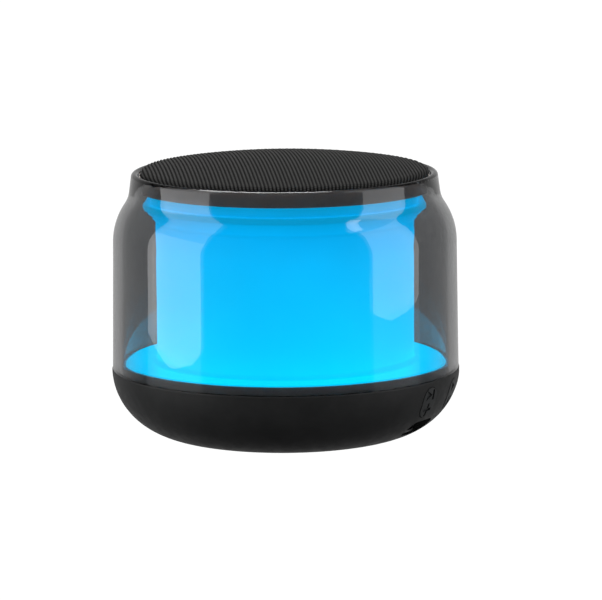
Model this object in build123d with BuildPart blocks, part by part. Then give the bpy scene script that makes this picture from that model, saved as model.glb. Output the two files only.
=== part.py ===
from build123d import *

import os
from math import atan2, cos, degrees, radians, sin, sqrt

# Round portable Bluetooth speaker: a lit column inside a smoked clear shell, a
# cloth grille over a small upward-firing driver, and a bowl-shaped base that
# holds the electronics and the soft keys.
#
# Millimetres, +Z up. The origin is the centre of the foot's underside, the
# front is -Y and the keys are on the right, +X. Angles round the body are
# measured in degrees from +X towards +Y.

os.makedirs("parts", exist_ok=True)

# --- driving dimensions --------------------------------------------------------

body_radius = 40.0  # clear shell at its foot
total_height = 65.0  # foot to the top of the grille
seam_height = 16.0  # where the clear shell meets the base
rim_height = 61.2  # top of the shell's lip
self_thread = 0.8  # radius of the M2 screws' shanks and of their pilot holes
screw_clearance = 1.1  # radius of the M2 screws' through holes

# base
base_proud = 0.15  # the base's lip stands out past the shell
base_wall = 2.0
base_bottom = 0.25  # underside of the base, held up by the foot
base_flat_radius = 23.5
foot_outer = 23.2
foot_inner = 13.0
foot_groove = 0.85  # depth of the groove that holds the foot
foot_grips = (16.0, 19.0)  # radii of the two grip grooves
foot_grip_width = 0.8
foot_grip_depth = 0.3
base_lip_round = 0.35
post_radius = 3.0  # posts that the tie screws pass through
board_post_radius = 2.4

# clear shell
shell_wall = 2.2
shell_foot_inner = 37.8
tongue_depth = 1.0
tongue_radius = 38.85
shell_shoulder_height = 45.5  # where the straight wall ends
shell_shoulder_radius = 39.6
shoulder_bend = 15.0  # convex arc
shoulder_lean = 35.0  # steepest lean of the shoulder from vertical
neck_bend = 6.4  # concave arc
neck_lean = 7.5  # draft of the neck
neck_inner = 33.5  # inside of the lip
lip_rise = 0.9  # crown of the lip over its two edges

# lit diffuser
column_radius = 29.7
diffuser_wall = 1.5
brim_radius = 37.0
brim_top = 17.9
collar_radius = 32.4
collar_start = 50.2  # the column flares out from here
collar_flare = 2.8
collar_top = 54.6
collar_round = 0.5
foot_round = 1.2  # between the column and its brim
start_round = 1.0  # between the column and its collar
brim_round = 0.4
throat_radius = 30.9  # the narrower top above the collar
throat_inner = 30.3
neck_seat = 57.3  # top of the diffuser, where the neck ring sits

# deck
deck_bottom = 11.2
deck_floor = 1.2
deck_radius = 35.6
deck_wall = 1.4
deck_rim_radius = 37.6
deck_rim_height = 1.1  # under the brim
deck_rim_wrap = 1.3  # up the brim's edge
fit_gap = 0.05  # between pieces that drop into one another
tie_boss_radius = 2.6
tie_pilot = 0.9  # radius of the tie screws' shanks
light_boss_radius = 2.0
light_boss_height = 2.0
lead_hole = 1.9

# neck ring
neck_ring_radius = 33.3
neck_ring_inner = 31.9
neck_ring_top = 60.2
riser_outer = 30.2  # the part that stands inside the diffuser's throat
riser_inner = 29.3
neck_ring_step = 1.0  # thickness of its flat seat
ledge_thickness = 1.2  # the ledge the driver hangs on
ledge_inner = 24.2

# grille
grille_radius = 33.25
grille_rise = 2.9  # from the edge of the dome to its top
grille_roll = 1.3  # rounding of the cloth's edge
skirt_bottom = 60.5
cloth = 0.4
frame_thickness = 1.0
frame_roll = 0.9  # rounding of the frame's edge under the cloth
skirt_outer = 31.7  # the frame's skirt, pressed into the neck ring
skirt_inner = 30.7
skirt_foot = 58.6
sound_hole = 1.5
sound_hole_pitch = 5.0  # between rings of holes, and about that along each

# driver, 52 mm frame
driver_radius = 26.0
driver_seat = 56.5
ear_circle = 27.0
ear_radius = 2.0  # round each of the driver's four screws
ear_turn = 45  # the first ear's angle
coil_radius = 6.55  # outside of the coil former

# main board and what stands on it
board_bottom = 6.25
board_thickness = 1.2
board_radius = 32.0
board_top = board_bottom + board_thickness

# keys, at equal steps round the right side
key_angles = {
    "key_next": -34.5,
    "key_play": -16.5,
    "key_back": 1.5,
    "key_power": 19.5,
}
key_width = 5.2
key_length = 7.0
key_height = 11.1
key_proud = 0.1
key_gap = 0.15
key_travel = 0.35  # how far a key goes in
key_flange = 0.8
key_flange_length = 7.6
key_flange_height = 10.5
icon_depth = 0.35
plunger_height = 9.3
plunger_tip = 33.6  # where the key's stem meets the switch plunger
plunger_length = 3.2
switch_front = 32.4

# charging port
port_angle = -31.0
port_height = 4.6
port_mouth = 31.6  # radius of the receptacle's front edge
port_opening = (9.4, 3.7)

# small holes round the base
light_pipe_angle = -7.5
light_pipe_height = 8.25
light_pipe_radius = 0.7
microphone_angle = 45.0
microphone_height = 8.0
microphone_hole = 0.5

# fasteners
tie_circle = 18.0  # four screws that tie base and deck
tie_angles = (0, 90, 180, 270)
board_post_circle = 27.5
board_post_angles = (70, 170, 250)
light_board_circle = 28.3
light_board_angles = (60, 180, 300)

# holes in the deck where the leads pass
lead_circle = 19.04
battery_lead_angle = 70.0
speaker_lead_angle = 110.0
light_lead_angle = 250.0

# --- worked out from the driving dimensions ------------------------------------------

base_radius = body_radius + base_proud
bowl_reach = base_radius - base_flat_radius
bowl_drop = seam_height - base_bottom
deck_top = deck_bottom + deck_floor
brim_bottom = brim_top - diffuser_wall
rebate_radius = tongue_radius + fit_gap
column_inner = column_radius - diffuser_wall


# --- shared shapes -------------------------------------------------------------------


def round_place(radius, angle, height=0.0):
    """Point at this radius and angle round the body."""
    return Vector(radius * cos(radians(angle)), radius * sin(radians(angle)), height)


def facing_out(angle, height, radius):
    """Plane that faces straight out from the axis, with its Y up."""
    outward = round_place(1, angle)
    return Plane(
        origin=round_place(radius, angle, height),
        x_dir=(-outward.Y, outward.X, 0),
        z_dir=(outward.X, outward.Y, 0),
    )


def bowl(growth):
    """The base's rounded outside as a solid, grown outwards by growth."""
    side = base_radius + growth
    bottom = base_bottom - growth
    with BuildPart() as solid:
        with BuildSketch(Plane.XZ):
            with BuildLine():
                EllipticalCenterArc(
                    (base_flat_radius, seam_height),
                    bowl_reach + growth,
                    bowl_drop + growth,
                    start_angle=-90,
                    arc_size=90,
                )
                Polyline(
                    (side, seam_height),
                    (0, seam_height),
                    (0, bottom),
                    (base_flat_radius, bottom),
                )
            make_face()
        revolve(axis=Axis.Z)
    return solid.part


def dome_height(radius, drop):
    """Height of the grille's sphere, lowered by drop, at this radius."""
    sphere = (grille_radius**2 + grille_rise**2) / (2 * grille_rise)
    centre = total_height - sphere
    return centre + sqrt((sphere - drop) ** 2 - radius**2)


def dome_arc(radius, drop):
    """Arc over the grille from the axis to this radius."""
    middle = radius / 2
    return ThreePointArc(
        (0, dome_height(0, drop)),
        (middle, dome_height(middle, drop)),
        (radius, dome_height(radius, drop)),
    )


def circles_of(builder, radius):
    """The part's horizontal round edges of this radius, lowest first."""
    circles = builder.edges().filter_by(GeomType.CIRCLE)
    return circles.filter_by(lambda edge: abs(edge.radius - radius) < 0.01).sort_by(Axis.Z)


def ring_part(inner, outer, bottom, top):
    """Plain ring about the axis."""
    with BuildPart() as ring:
        with BuildSketch(Plane.XY.offset(bottom)):
            Circle(outer)
            if inner > 0:
                Circle(inner, mode=Mode.SUBTRACT)
        extrude(amount=top - bottom)
    return ring.part


def pan_screw(head_radius, head_height, shank_radius, shank_length):
    """Cross-head screw, its head's underside at the origin and its shank down."""
    slot = head_radius * 1.1
    with BuildPart() as screw:
        with BuildSketch(Plane.XY):
            Circle(head_radius)
        extrude(amount=head_height)
        fillet(screw.edges().group_by(Axis.Z)[-1], head_height * 0.45)
        with BuildSketch(Plane.XY):
            Circle(shank_radius)
        extrude(amount=-shank_length)
        chamfer(screw.edges().group_by(Axis.Z)[0], shank_radius * 0.4)
        with BuildSketch(Plane.XY.offset(head_height)):
            Rectangle(slot, head_radius * 0.3)
            Rectangle(head_radius * 0.3, slot)
        extrude(amount=-head_height * 0.55, mode=Mode.SUBTRACT)
    return screw.part


def lead(points, bend, radius):
    """Wire that follows points, with rounded bends."""
    with BuildPart() as wire:
        with BuildLine() as path:
            FilletPolyline(*points, radius=bend)
        start = path.wires()[0]
        with BuildSketch(Plane(origin=start @ 0, z_dir=start % 0)):
            Circle(radius)
        sweep(path=start)
    return wire.part


# --- base --------------------------------------------------------------------------------

outer_bowl = bowl(0)
inner_bowl = bowl(-base_wall)
tie_post_top = 5.0
tie_head = (1.9, 1.5)  # radius and height of the tie screws' heads
head_clearance = 0.1
board_post_pilot_depth = 2.6

with BuildPart() as base_shell:
    add(outer_bowl)
    add(inner_bowl, mode=Mode.SUBTRACT)
    # posts for the tie screws and for the main board
    with BuildSketch(Plane.XY.offset(base_bottom + base_wall / 2)):
        with PolarLocations(tie_circle, len(tie_angles)):
            Circle(post_radius)
    extrude(amount=tie_post_top - base_bottom - base_wall / 2)
    with BuildSketch(Plane.XY.offset(base_bottom + base_wall)):
        for angle in board_post_angles:
            with Locations(round_place(board_post_circle, angle)):
                Circle(board_post_radius)
    extrude(amount=board_bottom - base_bottom - base_wall)
    # rebate for the clear shell's tongue
    with BuildSketch(Plane.XY.offset(seam_height)):
        Circle(rebate_radius)
    extrude(amount=-tongue_depth, mode=Mode.SUBTRACT)
    # groove for the foot
    with BuildSketch(Plane.XY.offset(base_bottom)):
        Circle(foot_outer)
        Circle(foot_inner, mode=Mode.SUBTRACT)
    extrude(amount=foot_groove, mode=Mode.SUBTRACT)
    # tie screw holes with room for their heads
    with BuildSketch(Plane.XY.offset(base_bottom)):
        with PolarLocations(tie_circle, len(tie_angles)):
            Circle(screw_clearance)
    extrude(amount=seam_height, mode=Mode.SUBTRACT)
    with BuildSketch(Plane.XY.offset(base_bottom)):
        with PolarLocations(tie_circle, len(tie_angles)):
            Circle(tie_head[0] + head_clearance)
    extrude(amount=foot_groove + tie_head[1], mode=Mode.SUBTRACT)
    # main board screw holes
    with BuildSketch(Plane.XY.offset(board_bottom)):
        for angle in board_post_angles:
            with Locations(round_place(board_post_circle, angle)):
                Circle(self_thread)
    extrude(amount=-board_post_pilot_depth, mode=Mode.SUBTRACT)
    # key openings
    for angle in key_angles.values():
        with BuildSketch(facing_out(angle, key_height, 30)):
            SlotOverall(key_length + 2 * key_gap, key_width + 2 * key_gap, rotation=90)
        extrude(amount=15, mode=Mode.SUBTRACT)
    # charging port, light pipe and microphone openings
    with BuildSketch(facing_out(port_angle, port_height, 24)):
        SlotOverall(*port_opening)
    extrude(amount=20, mode=Mode.SUBTRACT)
    with BuildSketch(facing_out(light_pipe_angle, light_pipe_height, 30)):
        Circle(light_pipe_radius)
    extrude(amount=15, mode=Mode.SUBTRACT)
    with BuildSketch(facing_out(microphone_angle, microphone_height, 30)):
        Circle(microphone_hole)
    extrude(amount=15, mode=Mode.SUBTRACT)
    # softened lip
    fillet(circles_of(base_shell, base_radius)[-1], base_lip_round)
base_shell.part.label = "base_shell"
export_step(base_shell.part, "parts/base_shell.step")

with BuildPart() as foot_ring:
    with BuildSketch(Plane.XY):
        Circle(foot_outer)
        Circle(foot_inner, mode=Mode.SUBTRACT)
    extrude(amount=base_bottom + foot_groove)
    # grip grooves in the underside
    for groove in foot_grips:
        with BuildSketch(Plane.XY):
            Circle(groove + foot_grip_width / 2)
            Circle(groove - foot_grip_width / 2, mode=Mode.SUBTRACT)
        extrude(amount=foot_grip_depth, mode=Mode.SUBTRACT)
    chamfer(foot_ring.edges().group_by(Axis.Z)[0].sort_by(SortBy.RADIUS)[-1], 0.15)
foot_ring.part.label = "foot_ring"
export_step(foot_ring.part, "parts/foot_ring.step")

tie_screw_seat = base_bottom + foot_groove + tie_head[1]
tie_screw = pan_screw(tie_head[0], tie_head[1], tie_pilot, 7.0)
with BuildPart() as tie_screws:
    with PolarLocations(tie_circle, len(tie_angles)):
        add(Pos(0, 0, tie_screw_seat) * Rot(180, 0, 0) * tie_screw)
tie_screws.part.label = "tie_screws"
export_step(tie_screws.part, "parts/tie_screws.step")

# --- clear shell ---------------------------------------------------------------------------


def leaning(angle):
    """Direction in the profile that leans in from vertical by angle."""
    return (-sin(radians(angle)), cos(radians(angle)))


wall_draft = degrees(
    atan2(body_radius - shell_shoulder_radius, shell_shoulder_height - seam_height)
)
with BuildPart() as outer_shell:
    with BuildSketch(Plane.XZ):
        with BuildLine():
            outside = Line((body_radius, seam_height), (shell_shoulder_radius, shell_shoulder_height))
            outside_shoulder = JernArc(
                outside @ 1, outside % 1, shoulder_bend, shoulder_lean - wall_draft
            )
            outside_neck = JernArc(
                outside_shoulder @ 1,
                leaning(shoulder_lean),
                neck_bend,
                neck_lean - shoulder_lean,
            )
            lip_foot = rim_height - lip_rise
            neck_run = (lip_foot - (outside_neck @ 1).Y) / cos(radians(neck_lean))
            neck = PolarLine(outside_neck @ 1, neck_run, direction=leaning(neck_lean))

            inside = Line(
                (shell_foot_inner, seam_height - tongue_depth),
                (shell_shoulder_radius - shell_wall, shell_shoulder_height),
            )
            inside_shoulder = JernArc(
                inside @ 1,
                leaning(wall_draft),
                shoulder_bend - shell_wall,
                shoulder_lean - wall_draft,
            )
            inside_neck = JernArc(
                inside_shoulder @ 1,
                leaning(shoulder_lean),
                neck_bend + shell_wall,
                neck_lean - shoulder_lean,
            )
            inner_neck = Line(inside_neck @ 1, (neck_inner, lip_foot))
            ThreePointArc(
                neck @ 1,
                (((neck @ 1).X + neck_inner) / 2, rim_height),
                inner_neck @ 1,
            )
            Polyline(
                outside @ 0,
                (tongue_radius, seam_height),
                (tongue_radius, seam_height - tongue_depth),
                inside @ 0,
            )
        make_face()
    revolve(axis=Axis.Z)
outer_shell.part.label = "outer_shell"
export_step(outer_shell.part, "parts/outer_shell.step")

# --- lit diffuser -----------------------------------------------------------------------------

with BuildPart() as light_diffuser:
    with BuildSketch(Plane.XZ):
        with BuildLine():
            Polyline(
                (column_inner, brim_bottom),
                (column_radius, brim_bottom),
                (column_radius, collar_start),
                (collar_radius, collar_start + collar_flare),
                (collar_radius, collar_top),
                (throat_radius, collar_top),
                (throat_radius, neck_seat),
                (throat_inner, neck_seat),
                (throat_inner, collar_start + throat_inner - column_inner),
                (column_inner, collar_start),
                close=True,
            )
        make_face()
    revolve(axis=Axis.Z)
    with BuildSketch(Plane.XY.offset(brim_bottom)):
        Circle(brim_radius)
        Circle(column_inner, mode=Mode.SUBTRACT)
    extrude(amount=diffuser_wall)
    fillet(circles_of(light_diffuser, column_radius)[0], foot_round)
    fillet(circles_of(light_diffuser, column_radius)[-1], start_round)
    fillet(circles_of(light_diffuser, collar_radius), collar_round)
    fillet(circles_of(light_diffuser, brim_radius)[-1], brim_round)
light_diffuser.part.label = "light_diffuser"
export_step(light_diffuser.part, "parts/light_diffuser.step")

# --- deck -----------------------------------------------------------------------------------

tie_boss_bottom = tie_post_top
tie_pilot_depth = 5.4
light_pilot_depth = 2.8
with BuildPart() as chassis_deck:
    with BuildSketch(Plane.XY.offset(deck_bottom)):
        Circle(deck_radius)
    extrude(amount=deck_floor)
    with BuildSketch(Plane.XY.offset(deck_top)):
        Circle(deck_radius)
        Circle(deck_radius - deck_wall, mode=Mode.SUBTRACT)
    extrude(amount=brim_bottom - deck_top)
    # rim that the diffuser's brim drops into
    with BuildSketch(Plane.XY.offset(brim_bottom - deck_rim_height)):
        Circle(deck_rim_radius)
        Circle(deck_radius - deck_wall, mode=Mode.SUBTRACT)
    extrude(amount=deck_rim_height)
    with BuildSketch(Plane.XY.offset(brim_bottom)):
        Circle(deck_rim_radius)
        Circle(brim_radius + fit_gap, mode=Mode.SUBTRACT)
    extrude(amount=deck_rim_wrap)
    # bosses for the tie screws and the light board's screws
    with BuildSketch(Plane.XY.offset(tie_boss_bottom)):
        with PolarLocations(tie_circle, len(tie_angles)):
            Circle(tie_boss_radius)
    extrude(amount=deck_bottom - tie_boss_bottom)
    with BuildSketch(Plane.XY.offset(deck_bottom - light_boss_height)):
        for angle in light_board_angles:
            with Locations(round_place(light_board_circle, angle)):
                Circle(light_boss_radius)
    extrude(amount=light_boss_height)
    # pilot holes
    with BuildSketch(Plane.XY.offset(tie_boss_bottom)):
        with PolarLocations(tie_circle, len(tie_angles)):
            Circle(tie_pilot)
    extrude(amount=tie_pilot_depth, mode=Mode.SUBTRACT)
    with BuildSketch(Plane.XY.offset(deck_top)):
        for angle in light_board_angles:
            with Locations(round_place(light_board_circle, angle)):
                Circle(self_thread)
    extrude(amount=-light_pilot_depth, mode=Mode.SUBTRACT)
    # holes for the leads
    with BuildSketch(Plane.XY.offset(deck_bottom)):
        for angle in (battery_lead_angle, speaker_lead_angle, light_lead_angle):
            with Locations(round_place(lead_circle, angle)):
                Circle(lead_hole)
    extrude(amount=deck_floor, mode=Mode.SUBTRACT)
chassis_deck.part.label = "chassis_deck"
export_step(chassis_deck.part, "parts/chassis_deck.step")

# --- light board -----------------------------------------------------------------------------

light_board_thickness = 1.0
light_board_top = deck_top + light_board_thickness
light_board_outer = 34.0
light_board_inner = 21.8
with BuildPart() as light_board:
    with BuildSketch(Plane.XY.offset(deck_top)):
        Circle(light_board_outer)
        Circle(light_board_inner, mode=Mode.SUBTRACT)
        for angle in light_board_angles:
            with Locations(round_place(light_board_circle, angle)):
                Circle(screw_clearance, mode=Mode.SUBTRACT)
    extrude(amount=light_board_thickness)
light_board.part.label = "light_board"
export_step(light_board.part, "parts/light_board.step")

light_rings = ((31.6, 24, 7.5), (24.6, 12, 25.0))  # radius, count, first angle
led_size = (2.8, 3.5, 0.8)
with BuildPart() as board_leds:
    for ring_radius, count, first_angle in light_rings:
        with BuildSketch(Plane.XY.offset(light_board_top)):
            with PolarLocations(ring_radius, count, start_angle=first_angle):
                Rectangle(led_size[0], led_size[1])
        extrude(amount=led_size[2])
    chamfer(board_leds.edges().group_by(Axis.Z)[-1], 0.15)
board_leds.part.label = "board_leds"
export_step(board_leds.part, "parts/board_leds.step")

m2_head = (1.8, 1.2)  # radius and height
board_screw = pan_screw(*m2_head, self_thread, 3.2)
with BuildPart() as light_board_screws:
    for angle in light_board_angles:
        with Locations(round_place(light_board_circle, angle, light_board_top)):
            add(board_screw)
light_board_screws.part.label = "light_board_screws"
export_step(light_board_screws.part, "parts/light_board_screws.step")

# --- battery ---------------------------------------------------------------------------------

battery_side = 29.0
battery_height = 8.0
foam_side = 24.0
foam_height = 0.8
with BuildPart() as battery_foam:
    with BuildSketch(Plane.XY.offset(deck_top)):
        RectangleRounded(foam_side, foam_side, 1.5)
    extrude(amount=foam_height)
battery_foam.part.label = "battery_foam"
export_step(battery_foam.part, "parts/battery_foam.step")

battery_bottom = deck_top + foam_height
with BuildPart() as battery_cell:
    with BuildSketch(Plane.XY.offset(battery_bottom)):
        RectangleRounded(battery_side, battery_side, 2.0)
    extrude(amount=battery_height)
    fillet(battery_cell.edges().group_by(Axis.Z)[-1], 1.0)
battery_cell.part.label = "battery_cell"
export_step(battery_cell.part, "parts/battery_cell.step")

# --- main board --------------------------------------------------------------------------------

with BuildPart() as main_board:
    with BuildSketch(Plane.XY.offset(board_bottom)):
        Circle(board_radius)
        with PolarLocations(tie_circle, len(tie_angles)):
            Circle(post_radius + head_clearance, mode=Mode.SUBTRACT)
        for angle in board_post_angles:
            with Locations(round_place(board_post_circle, angle)):
                Circle(screw_clearance, mode=Mode.SUBTRACT)
    extrude(amount=board_thickness)
main_board.part.label = "main_board"
export_step(main_board.part, "parts/main_board.step")

with BuildPart() as board_screws:
    for angle in board_post_angles:
        with Locations(round_place(board_post_circle, angle, board_top)):
            add(board_screw)
board_screws.part.label = "board_screws"
export_step(board_screws.part, "parts/board_screws.step")

with BuildPart() as radio_chip:
    with BuildSketch(Plane.XY.offset(board_top)):
        with Locations((-7, -5)):
            Rectangle(6.0, 6.0)
    extrude(amount=0.9)
    chamfer(radio_chip.edges().group_by(Axis.Z)[-1], 0.15)
radio_chip.part.label = "radio_chip"
export_step(radio_chip.part, "parts/radio_chip.step")

with BuildPart() as amplifier_chip:
    with BuildSketch(Plane.XY.offset(board_top + 0.15)):
        with Locations((6, -6)):
            Rectangle(5.0, 4.0)
    extrude(amount=1.45)
    chamfer(amplifier_chip.edges().group_by(Axis.Z)[-1], 0.2)
    # eight gull-wing legs, four a side
    with BuildSketch(Plane.XY.offset(board_top)):
        with Locations((6, -6)):
            with GridLocations(1.27, 5.0, 4, 2):
                Rectangle(0.4, 1.2)
    extrude(amount=0.35)
amplifier_chip.part.label = "amplifier_chip"
export_step(amplifier_chip.part, "parts/amplifier_chip.step")

with BuildPart() as power_inductor:
    with BuildSketch(Plane.XY.offset(board_top)):
        with Locations((6, 4)):
            RectangleRounded(5.0, 5.0, 1.0)
    extrude(amount=2.8)
    with BuildSketch(Plane.XY.offset(board_top + 2.8)):
        with Locations((6, 4)):
            Circle(1.8)
            Circle(1.4, mode=Mode.SUBTRACT)
    extrude(amount=-0.3, mode=Mode.SUBTRACT)
power_inductor.part.label = "power_inductor"
export_step(power_inductor.part, "parts/power_inductor.step")

with BuildPart() as can_capacitors:
    for place in ((-4, 5), (-10, 5)):
        with BuildSketch(Plane.XY.offset(board_top)):
            with Locations(place):
                Rectangle(4.3, 4.3)
        extrude(amount=0.5)
        with BuildSketch(Plane.XY.offset(board_top + 0.5)):
            with Locations(place):
                Circle(2.0)
        extrude(amount=2.6)
    fillet(can_capacitors.edges().group_by(Axis.Z)[-1], 0.3)
can_capacitors.part.label = "can_capacitors"
export_step(can_capacitors.part, "parts/can_capacitors.step")

with BuildPart() as microphone:
    with BuildSketch(Plane.XY.offset(board_top)):
        with Locations(Location(round_place(29.5, microphone_angle), (0, 0, microphone_angle))):
            Rectangle(3.0, 3.8)
    extrude(amount=1.1)
    with BuildSketch(facing_out(microphone_angle, microphone_height, 32)):
        Circle(0.3)
    extrude(amount=-1.5, mode=Mode.SUBTRACT)
microphone.part.label = "microphone"
export_step(microphone.part, "parts/microphone.step")

connector_top = board_top + 3.0
for name, angle in (
    ("battery_connector", battery_lead_angle),
    ("speaker_connector", speaker_lead_angle),
    ("light_connector", light_lead_angle),
):
    with BuildPart() as connector:
        with BuildSketch(Plane.XY.offset(board_top)):
            with Locations(Location(round_place(lead_circle, angle), (0, 0, angle))):
                Rectangle(3.6, 5.4)
        extrude(amount=3.0)
        chamfer(connector.edges().filter_by(Axis.Z), 0.4)
    connector.part.label = name
    export_step(connector.part, f"parts/{name}.step")

# status LED at the board's edge and the pipe that carries its light outside
with BuildPart() as status_led:
    with BuildSketch(Plane.XY.offset(board_top)):
        led_place = Location(round_place(30.8, light_pipe_angle), (0, 0, light_pipe_angle))
        with Locations(led_place):
            Rectangle(1.4, 2.4)
    extrude(amount=1.6)
status_led.part.label = "status_led"
export_step(status_led.part, "parts/status_led.step")

with BuildPart() as light_pipe:
    with BuildSketch(facing_out(light_pipe_angle, light_pipe_height, 31.6)):
        Circle(light_pipe_radius)
    extrude(amount=10)
    add(outer_bowl, mode=Mode.INTERSECT)
light_pipe.part.label = "light_pipe"
export_step(light_pipe.part, "parts/light_pipe.step")

# charging receptacle: a metal shell round a tongue, its mouth in the base's port
with BuildPart() as usb_c_port:
    with BuildSketch(facing_out(port_angle, port_height, port_mouth)):
        SlotOverall(8.94, 3.26)
    extrude(amount=-7.3)
    with BuildSketch(facing_out(port_angle, port_height, port_mouth)):
        SlotOverall(8.34, 2.56)
    extrude(amount=-6.2, mode=Mode.SUBTRACT)
    with BuildSketch(facing_out(port_angle, port_height, port_mouth - 6.3)):
        RectangleRounded(6.6, 0.7, 0.2)
    extrude(amount=5.3)
usb_c_port.part.label = "usb_c_port"
export_step(usb_c_port.part, "parts/usb_c_port.step")

# --- keys and their switches -------------------------------------------------------------------

stroke = 0.7  # width of an icon's strokes
icon_height = 2.4
arrow_length = 2.0
arrow_shift = 0.55  # a triangle beside its bar
bar_shift = 1.05
icon_level = 1.75  # each key has two icons, this far above and below its middle
sign_length = 3.0


def bar_icon(x, height, tall):
    """Upright bar."""
    with Locations((x, height)):
        Rectangle(stroke, tall)


def arrow_icon(x, height, length):
    """Filled triangle that points along length's sign."""
    Polygon(
        (x - length / 2, height - icon_height / 2),
        (x + length / 2, height),
        (x - length / 2, height + icon_height / 2),
        align=None,
    )


def draw_next():
    """Skip forward, over a plus."""
    arrow_icon(-arrow_shift, icon_level, arrow_length)
    bar_icon(bar_shift, icon_level, icon_height)
    with Locations((0, -icon_level)):
        Rectangle(sign_length, stroke)
        Rectangle(stroke, sign_length)


def draw_back():
    """Skip back, over a minus."""
    arrow_icon(arrow_shift, icon_level, -arrow_length)
    bar_icon(-bar_shift, icon_level, icon_height)
    with Locations((0, -icon_level)):
        Rectangle(sign_length, stroke)


def draw_play():
    """Triangle over a pair of bars."""
    arrow_icon(0, icon_level, arrow_length)
    bar_icon(-stroke, -icon_level, icon_height)
    bar_icon(stroke, -icon_level, icon_height)


def draw_power():
    """Open ring with an upright bar, over a dot."""
    with Locations((0, 1.2)):
        Circle(1.7)
        Circle(1.7 - stroke, mode=Mode.SUBTRACT)
    with Locations((0, 2.6)):
        Rectangle(1.7, 1.4, mode=Mode.SUBTRACT)
    bar_icon(0, 2.1, 1.8)
    with Locations((0, -2.0)):
        Circle(stroke)


icon_drawings = {
    "key_next": draw_next,
    "key_play": draw_play,
    "key_back": draw_back,
    "key_power": draw_power,
}

key_back_growth = -base_wall - 0.7  # inner face of the keys
flange_growth = -base_wall - 0.12  # the flange stops just short of the wall
key_outside = bowl(key_proud)
key_inside = bowl(key_back_growth)
flange_outside = bowl(flange_growth)
icon_floor = bowl(key_proud - icon_depth)

for name, angle in key_angles.items():
    with BuildPart() as icons:
        with BuildSketch(facing_out(angle, key_height, 30)):
            icon_drawings[name]()
        extrude(amount=15)
        add(icon_floor, mode=Mode.SUBTRACT)
    with BuildPart() as key:
        # flange behind the wall, which keeps the key from falling out
        with BuildSketch(facing_out(angle, key_flange_height, 28)):
            SlotOverall(key_flange_length, key_width + 2 * key_flange, rotation=90)
        extrude(amount=20)
        add(flange_outside, mode=Mode.INTERSECT)
        # the key itself, flush with the bowl
        with BuildSketch(facing_out(angle, key_height, 28)):
            SlotOverall(key_length, key_width, rotation=90)
        extrude(amount=20)
        add(key_outside, mode=Mode.INTERSECT)
        add(key_inside, mode=Mode.SUBTRACT)
        # stem that reaches the switch
        with BuildSketch(facing_out(angle, plunger_height, plunger_tip)):
            Rectangle(2.2, 1.4)
        extrude(amount=2.6)
        add(icons.part, mode=Mode.SUBTRACT)
    key.part.label = name
    export_step(key.part, f"parts/{name}.step")

    switch = name.replace("key", "switch")
    with BuildPart() as switch_body:
        with BuildSketch(facing_out(angle, board_top + 1.75, switch_front)):
            Rectangle(6.0, 3.5)
        extrude(amount=-4.0)
        # pocket for the pressed plunger
        pocket = switch_front - (plunger_tip - plunger_length) + key_travel + 0.1
        with BuildSketch(facing_out(angle, plunger_height, switch_front)):
            Rectangle(2.8, 1.8)
        extrude(amount=-pocket, mode=Mode.SUBTRACT)
    switch_body.part.label = switch
    export_step(switch_body.part, f"parts/{switch}.step")

    plunger = name.replace("key", "plunger")
    with BuildPart() as switch_plunger:
        with BuildSketch(facing_out(angle, plunger_height, plunger_tip)):
            Rectangle(2.6, 1.6)
        extrude(amount=-plunger_length)
    switch_plunger.part.label = plunger
    export_step(switch_plunger.part, f"parts/{plunger}.step")

# --- neck ring ----------------------------------------------------------------------------------

ledge_bottom = driver_seat - ledge_thickness
ear_boss_height = 3.5
ear_pilot_depth = 4.4
with BuildPart() as neck_ring:
    with BuildSketch(Plane.XZ):
        with BuildLine():
            Polyline(
                (ledge_inner, ledge_bottom),
                (riser_outer, ledge_bottom),
                (riser_outer, neck_seat),
                (neck_ring_radius, neck_seat),
                (neck_ring_radius, neck_ring_top),
                (neck_ring_inner, neck_ring_top),
                (neck_ring_inner, neck_seat + neck_ring_step),
                (riser_inner, neck_seat + neck_ring_step),
                (riser_inner, driver_seat),
                (ledge_inner, driver_seat),
                close=True,
            )
        make_face()
    revolve(axis=Axis.Z)
    # bosses under the ledge for the driver's screws
    with BuildSketch(Plane.XY.offset(ledge_bottom)):
        with PolarLocations(ear_circle, 4, start_angle=ear_turn):
            Circle(ear_radius)
    extrude(amount=-ear_boss_height)
    with BuildSketch(Plane.XY.offset(driver_seat)):
        with PolarLocations(ear_circle, 4, start_angle=ear_turn):
            Circle(self_thread)
    extrude(amount=-ear_pilot_depth, mode=Mode.SUBTRACT)
neck_ring.part.label = "neck_ring"
export_step(neck_ring.part, "parts/neck_ring.step")

# --- grille --------------------------------------------------------------------------------------

frame_radius = grille_radius - cloth
with BuildPart() as grille_frame:
    with BuildSketch(Plane.XZ):
        with BuildLine():
            top = dome_arc(frame_radius, cloth)
            under = dome_arc(skirt_inner, cloth + frame_thickness)
            Line(top @ 0, under @ 0)
            Polyline(
                top @ 1,
                (frame_radius, neck_ring_top),
                (skirt_outer, neck_ring_top),
                (skirt_outer, skirt_foot),
                (skirt_inner, skirt_foot),
                under @ 1,
            )
        make_face()
    revolve(axis=Axis.Z)
    # rings of sound holes
    with BuildSketch(Plane.XY.offset(skirt_foot)):
        Circle(sound_hole)
        for ring in range(1, 6):
            with PolarLocations(sound_hole_pitch * ring, 6 * ring):
                Circle(sound_hole)
    extrude(amount=total_height - skirt_foot, mode=Mode.SUBTRACT)
    fillet(circles_of(grille_frame, frame_radius)[-1], frame_roll)
grille_frame.part.label = "grille_frame"
export_step(grille_frame.part, "parts/grille_frame.step")

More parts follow.
